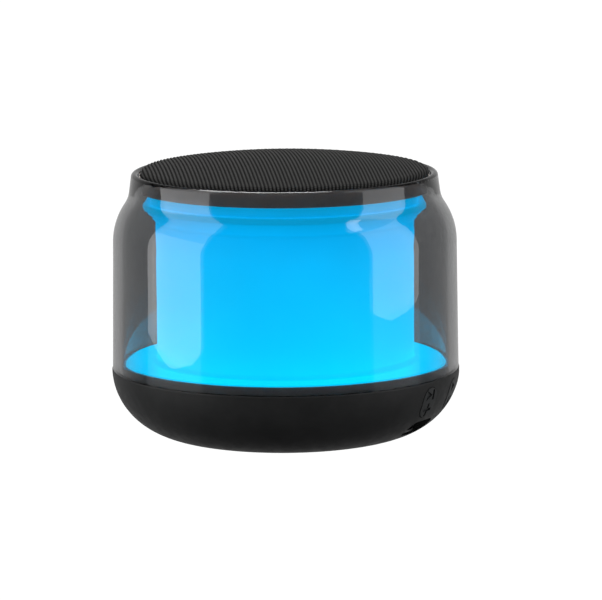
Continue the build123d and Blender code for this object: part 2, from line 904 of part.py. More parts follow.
with BuildPart() as grille_cloth:
    with BuildSketch(Plane.XZ):
        with BuildLine():
            top = dome_arc(grille_radius, 0)
            under = dome_arc(frame_radius, cloth)
            Line(top @ 0, under @ 0)
            Polyline(
                top @ 1,
                (grille_radius, skirt_bottom),
                (frame_radius, skirt_bottom),
                under @ 1,
            )
        make_face()
    revolve(axis=Axis.Z)
    fillet(circles_of(grille_cloth, grille_radius)[-1], grille_roll)
    fillet(circles_of(grille_cloth, frame_radius)[-1], frame_roll)
grille_cloth.part.label = "grille_cloth"
export_step(grille_cloth.part, "parts/grille_cloth.step")

# --- driver --------------------------------------------------------------------------------------

plate_bottom = 41.7
plate_top = plate_bottom + 2.0
magnet_bottom = plate_bottom - 7.0
yoke_bottom = magnet_bottom - 3.0
shelf = 46.8
flange_thickness = 0.9
flange_top = driver_seat + flange_thickness

with BuildPart() as driver_basket:
    with BuildSketch(Plane.XZ):
        with BuildLine():
            Polyline(
                (driver_radius, driver_seat),
                (23.9, driver_seat),
                (23.9, 54.0),
                (18.6, shelf - 0.8),
                (15.2, shelf - 0.8),
                (14.6, plate_top),
                (9.5, plate_top),
                (9.5, plate_top + 0.8),
                (13.9, plate_top + 0.8),
                (14.5, shelf),
                (18.0, shelf),
                (23.1, 54.4),
                (23.1, flange_top),
                (driver_radius, flange_top),
                close=True,
            )
        make_face()
    revolve(axis=Axis.Z)
    # ears
    with BuildSketch(Plane.XY.offset(driver_seat)):
        Circle(driver_radius)
        with PolarLocations(ear_circle, 4, start_angle=ear_turn):
            Circle(ear_radius)
        Circle(24.5, mode=Mode.SUBTRACT)
    extrude(amount=flange_thickness)
    with BuildSketch(Plane.XY.offset(driver_seat)):
        with PolarLocations(ear_circle, 4, start_angle=ear_turn):
            Circle(screw_clearance)
    extrude(amount=flange_thickness, mode=Mode.SUBTRACT)
    # four windows through the cone-shaped wall
    for angle in (45, 135, 225, 315):
        with BuildSketch(facing_out(angle, 50.6, 14)):
            RectangleRounded(17.0, 5.4, 1.5)
        extrude(amount=12, mode=Mode.SUBTRACT)
driver_basket.part.label = "driver_basket"
export_step(driver_basket.part, "parts/driver_basket.step")

driver_top_plate = ring_part(7.25, 15.0, plate_bottom, plate_top)
driver_top_plate.label = "driver_top_plate"
export_step(driver_top_plate, "parts/driver_top_plate.step")

driver_magnet = ring_part(9.5, 20.0, magnet_bottom, plate_bottom)
driver_magnet.label = "driver_magnet"
export_step(driver_magnet, "parts/driver_magnet.step")

with BuildPart() as driver_yoke:
    with BuildSketch(Plane.XY.offset(yoke_bottom)):
        Circle(19.0)
    extrude(amount=magnet_bottom - yoke_bottom)
    chamfer(driver_yoke.edges().group_by(Axis.Z)[0], 0.8)
    with BuildSketch(Plane.XY.offset(magnet_bottom)):
        Circle(6.1)
    extrude(amount=plate_top - magnet_bottom)
    with BuildSketch(Plane.XY.offset(yoke_bottom)):
        Circle(1.5)
    extrude(amount=plate_top - yoke_bottom, mode=Mode.SUBTRACT)
driver_yoke.part.label = "driver_yoke"
export_step(driver_yoke.part, "parts/driver_yoke.step")

former_bottom = 40.0
former_top = 48.8
voice_coil_former = ring_part(coil_radius - 0.15, coil_radius, former_bottom, former_top)
voice_coil_former.label = "voice_coil_former"
export_step(voice_coil_former, "parts/voice_coil_former.step")

coil_half = 2.25
coil_middle = (plate_bottom + plate_top) / 2
voice_coil_winding = ring_part(
    coil_radius, coil_radius + 0.4, coil_middle - coil_half, coil_middle + coil_half
)
voice_coil_winding.label = "voice_coil_winding"
export_step(voice_coil_winding, "parts/voice_coil_winding.step")

cone_neck = 47.6
cone_mouth = 18.9  # radius where the cone turns into its flat lip
cone_edge = 20.8
paper = 0.35
with BuildPart() as driver_cone:
    with BuildSketch(Plane.XZ):
        with BuildLine():
            Polyline(
                (coil_radius, cone_neck),
                (coil_radius + paper, cone_neck),
                (coil_radius + paper, cone_neck + 0.8),
                (cone_mouth + 0.1, flange_top - paper),
                (cone_edge, flange_top - paper),
                (cone_edge, flange_top),
                (cone_mouth, flange_top),
                (coil_radius, cone_neck + 1.2),
                close=True,
            )
        make_face()
    revolve(axis=Axis.Z)
driver_cone.part.label = "driver_cone"
export_step(driver_cone.part, "parts/driver_cone.step")

cap_radius = 9.5
cone_slope = (flange_top - cone_neck - 1.2) / (cone_mouth - coil_radius)
cap_foot = cone_neck + 1.2 + (cap_radius - coil_radius) * cone_slope
cap_rise = 2.6
with BuildPart() as dust_cap:
    with BuildSketch(Plane.XZ):
        with BuildLine():
            foot_rise = 0.35 * cone_slope
            cap_out = RadiusArc((0, cap_foot + cap_rise), (cap_radius, cap_foot), 19.0)
            cap_in = RadiusArc(
                (0, cap_foot + cap_rise - 0.3), (cap_radius - 0.35, cap_foot - foot_rise), 19.0
            )
            Line(cap_out @ 0, cap_in @ 0)
            Line(cap_out @ 1, cap_in @ 1)
        make_face()
    revolve(axis=Axis.Z)
dust_cap.part.label = "dust_cap"
export_step(dust_cap.part, "parts/dust_cap.step")

# half-roll surround, glued to the cone's edge and to the basket's flange
roll_inner = cone_edge
roll_outer = 24.0
surround_foot = 25.1
rubber = 0.35
with BuildPart() as driver_surround:
    with BuildSketch(Plane.XZ):
        with BuildLine():
            middle = (roll_inner + roll_outer) / 2
            over = ThreePointArc(
                (roll_inner, flange_top + rubber),
                (middle, flange_top + rubber + 1.6),
                (roll_outer, flange_top + rubber),
            )
            Polyline(
                over @ 1,
                (surround_foot, flange_top + rubber),
                (surround_foot, flange_top),
                (roll_outer - rubber, flange_top),
            )
            ThreePointArc(
                (roll_outer - rubber, flange_top),
                (middle, flange_top + 1.6),
                (roll_inner + rubber, flange_top),
            )
            Polyline(
                (roll_inner + rubber, flange_top),
                (19.4, flange_top),
                (19.4, flange_top + rubber),
                over @ 0,
            )
        make_face()
    revolve(axis=Axis.Z)
driver_surround.part.label = "driver_surround"
export_step(driver_surround.part, "parts/driver_surround.step")

driver_gasket = ring_part(24.3, surround_foot, flange_top + rubber, flange_top + rubber + 0.6)
driver_gasket.label = "driver_gasket"
export_step(driver_gasket, "parts/driver_gasket.step")

# corrugated spider between the former and the basket's shelf
spider_pitch = 1.8
spider_cloth = 0.3
with BuildPart() as driver_spider:
    with BuildSketch(Plane.XZ):
        with BuildLine():
            for level in (shelf, shelf + spider_cloth):
                start = coil_radius + 0.4
                for wave in range(4):
                    lift = 0.5 if wave % 2 == 0 else -0.5
                    ThreePointArc(
                        (start, level),
                        (start + spider_pitch / 2, level + lift),
                        (start + spider_pitch, level),
                    )
                    start += spider_pitch
                Line((start, level), (17.6, level))
                Line((coil_radius, level), (coil_radius + 0.4, level))
            Line((coil_radius, shelf), (coil_radius, shelf + spider_cloth))
            Line((17.6, shelf), (17.6, shelf + spider_cloth))
        make_face()
    revolve(axis=Axis.Z)
driver_spider.part.label = "driver_spider"
export_step(driver_spider.part, "parts/driver_spider.step")

terminal_top = shelf - 0.8
with BuildPart() as terminal_board:
    with BuildSketch(Plane.XY.offset(terminal_top - 0.8)):
        with Locations((0, 19.4)):
            RectangleRounded(9.0, 7.2, 0.6)
    extrude(amount=0.8)
terminal_board.part.label = "terminal_board"
export_step(terminal_board.part, "parts/terminal_board.step")

lug_bottom = terminal_top - 2.3
lug_places = ((-2.4, 22.0), (2.4, 22.0))
with BuildPart() as solder_lugs:
    with BuildSketch(Plane.XY.offset(lug_bottom)):
        with Locations(*lug_places):
            Rectangle(1.8, 0.5)
    extrude(amount=1.5)
solder_lugs.part.label = "solder_lugs"
export_step(solder_lugs.part, "parts/solder_lugs.step")

with BuildPart() as driver_screws:
    with PolarLocations(ear_circle, 4, start_angle=ear_turn):
        add(Pos(0, 0, flange_top) * pan_screw(*m2_head, self_thread, 4.6))
driver_screws.part.label = "driver_screws"
export_step(driver_screws.part, "parts/driver_screws.step")

# --- leads -----------------------------------------------------------------------------------------

lead_radius = 0.45
lead_bend = 2.4  # limp silicone wire
battery_hole = round_place(lead_circle, battery_lead_angle)
for name, side in (("battery_lead_red", -0.75), ("battery_lead_black", 0.75)):
    x = battery_hole.X + side
    wire = lead(
        [
            (x, battery_side / 2, battery_bottom + 4.5),
            (x, battery_hole.Y, battery_bottom + 4.5),
            (x, battery_hole.Y, connector_top),
        ],
        lead_bend,
        lead_radius,
    )
    wire.label = name
    export_step(wire, f"parts/{name}.step")

speaker_hole = round_place(lead_circle, speaker_lead_angle)
for name, side, lug in (
    ("speaker_lead_red", -0.75, lug_places[0]),
    ("speaker_lead_black", 0.75, lug_places[1]),
):
    x = speaker_hole.X + side
    wire = lead(
        [
            (lug[0], lug[1], lug_bottom),
            (lug[0], lug[1] + 0.4, 34.0),
            (x, speaker_hole.Y, 22.0),
            (x, speaker_hole.Y, connector_top),
        ],
        (10.0, 10.0),
        lead_radius,
    )
    wire.label = name
    export_step(wire, f"parts/{name}.step")

light_lead = lead(
    [
        round_place(24.0, light_lead_angle, light_board_top),
        round_place(24.0, light_lead_angle, light_board_top + 4.0),
        round_place(lead_circle, light_lead_angle, light_board_top + 4.0),
        round_place(lead_circle, light_lead_angle, connector_top),
    ],
    lead_bend,
    0.8,
)
light_lead.label = "light_lead"
export_step(light_lead, "parts/light_lead.step")
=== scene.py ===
from math import atan2, ceil, cos, pi, radians, sin, sqrt, tan

import bpy
import numpy as np
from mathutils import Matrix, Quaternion, Vector


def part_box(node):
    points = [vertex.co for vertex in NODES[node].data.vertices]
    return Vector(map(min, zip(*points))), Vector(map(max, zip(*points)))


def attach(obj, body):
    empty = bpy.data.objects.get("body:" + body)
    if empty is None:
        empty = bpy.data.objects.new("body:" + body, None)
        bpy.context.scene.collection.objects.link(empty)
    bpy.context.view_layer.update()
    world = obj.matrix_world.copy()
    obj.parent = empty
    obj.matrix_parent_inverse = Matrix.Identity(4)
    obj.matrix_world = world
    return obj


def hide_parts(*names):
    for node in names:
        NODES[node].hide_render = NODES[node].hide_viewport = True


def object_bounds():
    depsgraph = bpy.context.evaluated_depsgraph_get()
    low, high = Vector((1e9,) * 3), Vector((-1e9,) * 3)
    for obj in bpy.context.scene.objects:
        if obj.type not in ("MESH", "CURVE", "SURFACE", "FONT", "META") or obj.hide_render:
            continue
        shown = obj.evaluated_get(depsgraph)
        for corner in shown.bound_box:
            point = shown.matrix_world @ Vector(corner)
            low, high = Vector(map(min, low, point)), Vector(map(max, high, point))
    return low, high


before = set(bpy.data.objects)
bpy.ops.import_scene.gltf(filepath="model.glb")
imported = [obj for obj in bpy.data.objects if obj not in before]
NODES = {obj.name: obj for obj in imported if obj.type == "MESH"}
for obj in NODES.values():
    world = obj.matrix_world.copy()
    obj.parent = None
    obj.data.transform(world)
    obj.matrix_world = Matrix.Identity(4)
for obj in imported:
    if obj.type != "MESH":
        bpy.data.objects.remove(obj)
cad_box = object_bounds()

# Looks of a round portable speaker: a lit column in a smoked clear shell, a
# woven grille on top and a matte bowl-shaped base. Metres, +Z up, front -Y.
# Noise scales are in 1/m, bump depths in metres, and colours are linear.

MM = 0.001
scene = bpy.context.scene
FLOOR_LEVEL = cad_box[0].z

# --- node tree helpers -------------------------------------------------------------


class Surface:
    """A node material built step by step round one Principled shader."""

    def __init__(self, name):
        self.material = bpy.data.materials.new(name)
        self.material.use_nodes = True
        self.tree = self.material.node_tree
        self.tree.nodes.clear()
        self.output = self.add("ShaderNodeOutputMaterial")
        self.place = self.add("ShaderNodeTexCoord").outputs["Object"]

    def add(self, kind, **settings):
        """New node, with attributes or input values set by name."""
        node = self.tree.nodes.new(kind)
        for key, value in settings.items():
            if hasattr(node, key):
                setattr(node, key, value)
            else:
                node.inputs[key.replace("_", " ")].default_value = value
        return node

    def join(self, source, target):
        self.tree.links.new(source, target)
        return source

    def noise(self, scale, detail=3.0, rough=0.5, stretch=None):
        """Noise value at this scale in 1/m, over the object's own space."""
        node = self.add("ShaderNodeTexNoise", Scale=scale, Detail=detail, Roughness=rough)
        place = self.place
        if stretch:
            mapping = self.add("ShaderNodeMapping")
            mapping.inputs["Scale"].default_value = stretch
            self.join(self.place, mapping.inputs["Vector"])
            place = mapping.outputs["Vector"]
        self.join(place, node.inputs["Vector"])
        return node.outputs["Fac"]

    def height(self):
        """Height over the floor, in metres."""
        split = self.add("ShaderNodeSeparateXYZ")
        self.join(self.place, split.inputs["Vector"])
        return split.outputs["Z"]

    def math(self, operation, first, second=None, third=None):
        node = self.add("ShaderNodeMath", operation=operation)
        for socket, value in zip(node.inputs, (first, second, third)):
            if value is None:
                continue
            if isinstance(value, (int, float)):
                socket.default_value = value
            else:
                self.join(value, socket)
        return node.outputs[0]

    def spread(self, value, low, high, to_low, to_high):
        """value from low..high to to_low..to_high, clamped."""
        node = self.add("ShaderNodeMapRange", clamp=True)
        for index, number in zip((1, 2, 3, 4), (low, high, to_low, to_high)):
            node.inputs[index].default_value = number
        self.join(value, node.inputs[0])
        return node.outputs[0]

    def ramp(self, value, stops, smooth=False):
        """Colour ramp; stops are (position, colour)."""
        node = self.add("ShaderNodeValToRGB")
        if smooth:
            node.color_ramp.interpolation = "EASE"
        elements = node.color_ramp.elements
        while len(elements) < len(stops):
            elements.new(0.5)
        for element, (position, colour) in zip(elements, stops):
            element.position = position
            element.color = (*colour, 1.0)
        self.join(value, node.inputs["Fac"])
        return node.outputs["Color"]

    def bump(self, value, depth, under=None):
        """Bump from value, depth in metres."""
        node = self.add("ShaderNodeBump", Strength=1.0, Distance=depth)
        self.join(value, node.inputs["Height"])
        if under is not None:
            self.join(under, node.inputs["Normal"])
        return node.outputs["Normal"]

    def principled(self, **inputs):
        """Principled shader on the output; input names have _ for a space."""
        shader = self.add("ShaderNodeBsdfPrincipled")
        for key, value in inputs.items():
            socket = shader.inputs[key.replace("_", " ")]
            if isinstance(value, bpy.types.NodeSocket):
                self.join(value, socket)
            else:
                socket.default_value = value
        self.join(shader.outputs["BSDF"], self.output.inputs["Surface"])
        return shader


def moulded(name, dark, light, grain=9000.0, depth=0.00001, rough=(0.42, 0.55), **more):
    """Moulded or cast surface: fine spark-eroded grain, faint cloudy colour."""
    surface = Surface(name)
    cloud = surface.noise(160.0, 4.0, 0.6)
    colour = surface.ramp(cloud, ((0.3, dark), (0.7, light)))
    grain_value = surface.noise(grain, 2.0, 0.6)
    wear = surface.noise(420.0, 5.0, 0.65)
    surface.principled(
        Base_Color=colour,
        Roughness=surface.spread(wear, 0.3, 0.7, *rough),
        Normal=surface.bump(grain_value, depth),
        **more,
    )
    return surface.material


def metal(name, dark, light, rough=(0.22, 0.4), stretch=(1.0, 1.0, 60.0), scale=900.0):
    """Brushed or drawn metal, its grain stretched along one way."""
    surface = Surface(name)
    grain = surface.noise(scale, 4.0, 0.6, stretch)
    surface.principled(
        Base_Color=surface.ramp(grain, ((0.35, dark), (0.65, light))),
        Metallic=1.0,
        Roughness=surface.spread(grain, 0.3, 0.7, *rough),
        Normal=surface.bump(grain, 0.000004),
    )
    return surface.material


def dress(material, *names):
    """Gives carried-over CAD nodes this material in every slot."""
    for name in names:
        mesh = NODES[name].data
        if not mesh.materials:
            mesh.materials.append(material)
        for index in range(len(mesh.materials)):
            mesh.materials[index] = material


# --- clear shell -------------------------------------------------------------------


def smoked_clear():
    """Clear polycarbonate, each face of which passes some 57 % of the light."""
    surface = Surface("smoked_clear_polycarbonate")
    tint = surface.ramp(
        surface.noise(35.0, 2.0, 0.5),
        ((0.35, (0.315, 0.32, 0.325)), (0.65, (0.335, 0.34, 0.345))),
    )
    surface.principled(
        Base_Color=tint,
        Roughness=0.0,
        IOR=1.5,
        Transmission_Weight=1.0,
        Normal=surface.bump(surface.noise(60.0, 2.0, 0.5), 0.00003),
    )
    return surface.material


SEAM_DECIMALS = 7  # corners equal to this many decimals of a metre are one corner
SHARP_EDGE = radians(35)  # edges that turn more than this stay sharp


def joined_shell():
    """The CAD's shell with its seams joined, so that its shading runs smoothly round."""
    node = NODES["outer_shell"]
    source = node.data
    flat = np.empty(len(source.vertices) * 3)
    source.vertices.foreach_get("co", flat)
    verts, number = np.unique(flat.reshape(-1, 3).round(SEAM_DECIMALS), axis=0, return_inverse=True)
    number = number.reshape(-1)
    faces = [[int(number[corner]) for corner in face.vertices] for face in source.polygons]
    mesh = bpy.data.meshes.new("outer_shell_joined")
    mesh.from_pydata(verts.tolist(), [], [face for face in faces if len(set(face)) == len(face)])
    mesh.validate()
    mesh.shade_smooth()
    mesh.set_sharp_from_angle(angle=SHARP_EDGE)
    mesh.materials.append(smoked_clear())
    piece = bpy.data.objects.new("outer_shell_joined", mesh)
    piece.matrix_world = node.matrix_world.copy()
    scene.collection.objects.link(piece)
    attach(piece, "body")
    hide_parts("outer_shell")


joined_shell()

# --- lit diffuser --------------------------------------------------------------------


def lit_opal():
    """Opal plastic that glows blue, paler and greener towards its foot."""
    surface = Surface("lit_opal_polycarbonate")
    low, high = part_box("light_diffuser")
    share = surface.spread(surface.height(), low.z, high.z, 0.0, 1.0)
    drift = surface.spread(surface.noise(25.0, 2.0, 0.5), 0.3, 0.7, -0.02, 0.02)
    glow = surface.ramp(
        surface.math("ADD", share, drift),
        (
            (0.0, (0.0, 0.56, 0.86)),
            (0.12, (0.0, 0.58, 0.93)),
            (0.3, (0.0, 0.57, 1.0)),
            (0.66, (0.0, 0.49, 0.97)),
            (0.78, (0.0, 0.42, 0.86)),
            (0.88, (0.0, 0.3, 0.58)),
            (1.0, (0.0, 0.27, 0.46)),
        ),
    )
    surface.principled(
        Base_Color=surface.ramp(drift, ((0.0, (0.04, 0.5, 0.8)), (1.0, (0.06, 0.6, 0.9)))),
        Roughness=0.35,
        Normal=surface.bump(surface.noise(1400.0, 3.0, 0.6), 0.000006),
        Emission_Color=glow,
        Emission_Strength=3.0,
    )
    return surface.material


dress(lit_opal(), "light_diffuser")

# --- dark plastics, rubber -----------------------------------------------------------

base_black = moulded(
    "base_black_abs",
    (0.019, 0.0195, 0.02),
    (0.025, 0.0255, 0.026),
    depth=0.000012,
    Specular_IOR_Level=0.17,
)
dress(base_black, "base_shell")
frame_black = moulded("frame_black_abs", (0.02, 0.021, 0.023), (0.03, 0.032, 0.034))
dress(frame_black, "grille_frame")
deck_grey = moulded("deck_grey_abs", (0.8, 0.8, 0.8), (0.88, 0.88, 0.88))
dress(deck_grey, "chassis_deck")
# light grey ABS, with a warm tint painted in against the blue light that the glowing column throws
# on the ring
neck_warmed_against_glow = moulded("neck_abs_warmed_against_glow", (0.82, 0.7, 0.64), (0.9, 0.78, 0.72))
dress(neck_warmed_against_glow, "neck_ring")
key_black = moulded(
    "key_silicone", (0.018, 0.02, 0.021), (0.026, 0.028, 0.03), rough=(0.5, 0.62)
)
dress(key_black, *[name for name in NODES if name.startswith("key_")])
foot_black = moulded(
    "foot_silicone", (0.016, 0.016, 0.016), (0.024, 0.024, 0.024), rough=(0.6, 0.8)
)
dress(foot_black, "foot_ring", "driver_surround")
foam_black = moulded(
    "closed_cell_foam", (0.02, 0.02, 0.02), (0.05, 0.05, 0.05), 2500.0, 0.00012, (0.8, 0.95)
)
dress(foam_black, "battery_foam", "driver_gasket")

# --- inside pieces ---------------------------------------------------------------------

chip_black = moulded("epoxy_package", (0.02, 0.02, 0.022), (0.032, 0.032, 0.034), 12000.0)
dress(
    chip_black,
    "radio_chip",
    "amplifier_chip",
    "power_inductor",
    *[name for name in NODES if name.startswith("switch_")],
)
nylon = moulded("connector_nylon", (0.72, 0.70, 0.64), (0.82, 0.80, 0.75), rough=(0.35, 0.5))
dress(
    nylon,
    "battery_connector",
    "speaker_connector",
    "light_connector",
    *[name for name in NODES if name.startswith("plunger_")],
)
dress(metal("zinc_screw", (0.42, 0.42, 0.43), (0.58, 0.58, 0.6)),
      "tie_screws", "board_screws", "light_board_screws", "driver_screws")
dress(metal("port_stainless", (0.4, 0.4, 0.41), (0.55, 0.55, 0.57)), "usb_c_port")
dress(metal("motor_steel", (0.4, 0.4, 0.4), (0.55, 0.55, 0.54)), "driver_top_plate", "driver_yoke")
dress(metal("drawn_aluminium", (0.6, 0.6, 0.62), (0.75, 0.75, 0.77)),
      "can_capacitors", "microphone")
dress(metal("coil_copper", (0.55, 0.22, 0.1), (0.75, 0.36, 0.2), stretch=(1.0, 1.0, 90.0)),
      "voice_coil_winding")
dress(metal("lug_tinned_brass", (0.6, 0.5, 0.3), (0.75, 0.66, 0.45)), "solder_lugs")
dress(metal("pouch_laminate", (0.5, 0.52, 0.55), (0.62, 0.64, 0.67), (0.3, 0.45), (1, 1, 1), 500.0),
      "battery_cell")
dress(moulded("basket_paint", (0.02, 0.02, 0.02), (0.035, 0.035, 0.036), 4000.0, 0.00003),
      "driver_basket")
dress(moulded("ground_ferrite", (0.035, 0.035, 0.038), (0.06, 0.06, 0.062), 3000.0, 0.00003),
      "driver_magnet")
dress(moulded("polyimide_former", (0.42, 0.2, 0.04), (0.55, 0.28, 0.07), rough=(0.25, 0.4)),
      "voice_coil_former")
dress(moulded("pulp_cone", (0.03, 0.03, 0.03), (0.06, 0.058, 0.055), 3500.0, 0.00008, (0.75, 0.9)),
      "driver_cone", "dust_cap")
dress(moulded("phenolic_board", (0.2, 0.11, 0.05), (0.28, 0.16, 0.07)), "terminal_board")
dress(moulded("board_white_mask", (0.76, 0.77, 0.76), (0.86, 0.87, 0.86), rough=(0.25, 0.4)),
      "light_board")
dress(moulded("led_package", (0.8, 0.78, 0.6), (0.92, 0.9, 0.74), rough=(0.2, 0.35)),
      "board_leds", "status_led")
dress(moulded("red_silicone", (0.4, 0.012, 0.012), (0.5, 0.02, 0.018)),
      "battery_lead_red", "speaker_lead_red")
dress(moulded("black_silicone", (0.015, 0.015, 0.015), (0.022, 0.022, 0.022)),
      "battery_lead_black", "speaker_lead_black", "light_lead")
dress(moulded("pipe_acrylic", (0.55, 0.6, 0.62), (0.68, 0.72, 0.75), rough=(0.1, 0.2),
              Transmission_Weight=0.8), "light_pipe")


def circuit_board():
    """Green solder mask over copper traces on a half-millimetre grid."""
    surface = Surface("green_solder_mask")
    traces = surface.add("ShaderNodeTexBrick", Scale=900.0)
    traces.inputs["Mortar Size"].default_value = 0.06
    traces.inputs["Color1"].default_value = (0.006, 0.075, 0.028, 1)
    traces.inputs["Color2"].default_value = (0.006, 0.06, 0.024, 1)
    traces.inputs["Mortar"].default_value = (0.02, 0.16, 0.06, 1)
    surface.join(surface.place, traces.inputs["Vector"])
    surface.principled(
        Base_Color=traces.outputs["Color"],
        Roughness=surface.spread(surface.noise(700.0), 0.3, 0.7, 0.25, 0.38),
        Normal=surface.bump(traces.outputs["Fac"], 0.00002),
    )
    return surface.material


WAVES_PER_UNIT = 6.3  # bands that the wave texture draws in one unit at scale 1


def woven(name, dark, light, pitch):
    """Plain weave seen from close by, for the spider."""
    surface = Surface(name)
    scale = 1.0 / pitch / WAVES_PER_UNIT
    warp = surface.add("ShaderNodeTexWave", Scale=scale, bands_direction="X")
    weft = surface.add("ShaderNodeTexWave", Scale=scale, bands_direction="Y")
    for wave in (warp, weft):
        surface.join(surface.place, wave.inputs["Vector"])
    threads = surface.math("MAXIMUM", warp.outputs["Fac"], weft.outputs["Fac"])
    surface.principled(
        Base_Color=surface.ramp(threads, ((0.2, dark), (0.8, light))),
        Roughness=0.85,
        Normal=surface.bump(threads, 0.00008),
    )
    return surface.material


dress(circuit_board(), "main_board")
dress(woven("spider_cotton", (0.35, 0.22, 0.07), (0.62, 0.44, 0.18), 0.5 * MM), "driver_spider")

# --- grille cloth ------------------------------------------------------------------------


def cloth_material():
    """Black polyester thread, its colour darkened by the rib's height share into painted shade in
    the furrows between the ribs.
    """
    surface = Surface("grille_polyester")
    fuzz = surface.noise(5200.0, 3.0, 0.7)
    crown = surface.add("ShaderNodeAttribute", attribute_name="crown").outputs["Fac"]
    # painted shade: a low rib height darkens the colour in the furrows, and the fuzz adds random
    # thread tone
    furrow_shade = surface.math("MULTIPLY_ADD", fuzz, 0.3, surface.math("SUBTRACT", crown, 0.15))
    surface.principled(
        Base_Color=surface.ramp(
            furrow_shade, ((0.5, (0.004, 0.004, 0.004)), (0.9, (0.044, 0.044, 0.043)))
        ),
        Roughness=surface.spread(fuzz, 0.3, 0.7, 0.62, 0.85),
        Specular_IOR_Level=0.05,
        Normal=surface.bump(surface.noise(14000.0, 2.0, 0.6), 0.00003),
    )
    return surface.material


RIB_PITCH = 0.84 * MM
RIB_TURN = radians(5.6)  # the ribs run a little off front to back
RIB_HEIGHT = 0.26 * MM
RELIEF_ROOM = 1.02  # the ribs stay this much inside the CAD's cloth
RIB_SAMPLES = 4  # columns of the mesh across one rib
PICK_PITCH = 0.54 * MM  # cross threads
PICK_SHARE = 0.35  # how far a cross thread presses a rib down
PICK_SAMPLES = 3
DOME_RISE = 2.9 * MM
DOME_ROLL = 1.2 * MM  # rounding of the dome's edge
DOME_STEPS = 60  # points of the section over the dome, and round its edge
ROLL_STEPS = 12


def edge_profile(radius, top, skirt, rise, roll):
    """Dome, rolled edge and skirt as (length along the cloth, radius, height)."""
    sphere = (radius**2 + rise**2) / (2 * rise)
    centre = top - sphere
    # the roll touches the sphere from inside and the skirt's cylinder
    roll_radius = radius - roll
    roll_height = centre + sqrt((sphere - roll) ** 2 - roll_radius**2)
    lean = atan2(roll_radius, roll_height - centre)
    points = []
    for turn in np.linspace(0, lean, DOME_STEPS + 1):
        points.append((sphere * sin(turn), centre + sphere * cos(turn)))
    for turn in np.linspace(lean, pi / 2, ROLL_STEPS + 1)[1:]:
        points.append((roll_radius + roll * sin(turn), roll_height + roll * cos(turn)))
    points.append((radius, skirt))
    length = 0.0
    profile = [(0.0, *points[0])]
    for (r0, z0), (r1, z1) in zip(points, points[1:]):
        length += sqrt((r1 - r0) ** 2 + (z1 - z0) ** 2)
        profile.append((length, r1, z1))
    return np.array(profile)


def grille_cloth():
    """The cloth over the dome, its ribs and cross threads as real relief."""
    low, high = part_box("grille_cloth")
    relief = RIB_HEIGHT * RELIEF_ROOM
    profile = edge_profile(high.x - relief, high.z - relief, low.z, DOME_RISE, DOME_ROLL)
    reach = profile[-1, 0]
    columns = ceil(reach / RIB_PITCH) * RIB_SAMPLES
    rows = ceil(reach / PICK_PITCH) * PICK_SAMPLES
    across = np.arange(-columns, columns + 1) * RIB_PITCH / RIB_SAMPLES
    along = np.arange(-rows, rows + 1) * PICK_PITCH / PICK_SAMPLES
    u, v = np.meshgrid(across, along, indexing="ij")
    distance = np.hypot(u, v)
    cell = max(RIB_PITCH / RIB_SAMPLES, PICK_PITCH / PICK_SAMPLES)
    kept = distance < reach + 0.75 * cell

    # relief: round cords side by side, each pressed down where a pick crosses it
    cord = u / RIB_PITCH
    phase = cord - np.floor(cord + 1e-6)
    crown = np.sqrt(np.clip(1 - (2 * phase - 1) ** 2, 0, 1))
    odd = np.floor(cord + 1e-6) % 2
    pick = 0.5 + 0.5 * np.cos(2 * pi * (v / PICK_PITCH + 0.5 * odd))
    height = RIB_HEIGHT * crown * (1 - PICK_SHARE * pick)

    along_cloth = np.minimum(distance, reach)
    radius = np.interp(along_cloth, profile[:, 0], profile[:, 1])
    level = np.interp(along_cloth, profile[:, 0], profile[:, 2])
    slope_r = np.gradient(profile[:, 1], profile[:, 0])
    slope_z = np.gradient(profile[:, 2], profile[:, 0])
    outward = -np.interp(along_cloth, profile[:, 0], slope_z)
    upward = np.interp(along_cloth, profile[:, 0], slope_r)
    radius = radius + height * outward
    level = level + height * upward
    angle = np.arctan2(v, u) + RIB_TURN
    x, y = radius * np.cos(angle), radius * np.sin(angle)

    number = np.full(u.shape, -1)
    number[kept] = np.arange(kept.sum())
    verts = np.stack([x[kept], y[kept], level[kept]], axis=1)
    corners = np.stack(
        [number[:-1, :-1], number[1:, :-1], number[1:, 1:], number[:-1, 1:]], axis=-1
    )
    inside = (distance[:-1, :-1] < reach) | (distance[1:, 1:] < reach)
    inside |= (distance[1:, :-1] < reach) | (distance[:-1, 1:] < reach)
    faces = corners[(corners >= 0).all(axis=-1) & inside]
    mesh = bpy.data.meshes.new("grille_cloth_woven")
    mesh.from_pydata(verts.tolist(), [], faces.tolist())
    mesh.validate()
    mesh.shade_smooth()
    piece = bpy.data.objects.new("grille_cloth_woven", mesh)
    scene.collection.objects.link(piece)
    # each point's rib height share, which the cloth's colour turns into painted shade in the
    # furrows
    crowns = mesh.attributes.new("crown", "FLOAT", "POINT")
    crowns.data.foreach_set("value", (height / RIB_HEIGHT)[kept])
    mesh.materials.append(cloth_material())
    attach(piece, "body")
    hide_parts("grille_cloth")
    return piece


grille_cloth()

# --- floor, light, camera --------------------------------------------------------------------

scene.view_settings.view_transform = "Standard"
scene.view_settings.look = "None"

CAMERA_RISE = radians(9.35)
CAMERA_ROLL = radians(-0.25)
CAMERA_TURN = radians(-1.0)  # the optical axis passes beside the object
CAMERA_REACH = 1.0  # from the camera to what it aims at
CAMERA_LENS = 258.8  # millimetres
CAMERA_SHIFT = (0.0275, 0.0052)  # shares of the frame's width that the object stands off centre
AIM = Vector((0, 0, 30.4 * MM))
FLOOR_SIDE = 8.0
FLOOR_GAP = 0.1 * MM  # keeps the foot and the paper from sharing a plane
PAPER_WHITE = 1.1  # floor and background, where seen
ROOM_FILL = 0.62  # the room's light on matte surfaces
SIDE_DISTANCE = 0.6  # from the object's axis to the standing softboxes

camera_data = bpy.data.cameras.new("camera")
camera_data.lens = CAMERA_LENS
camera_data.sensor_width = 36.0
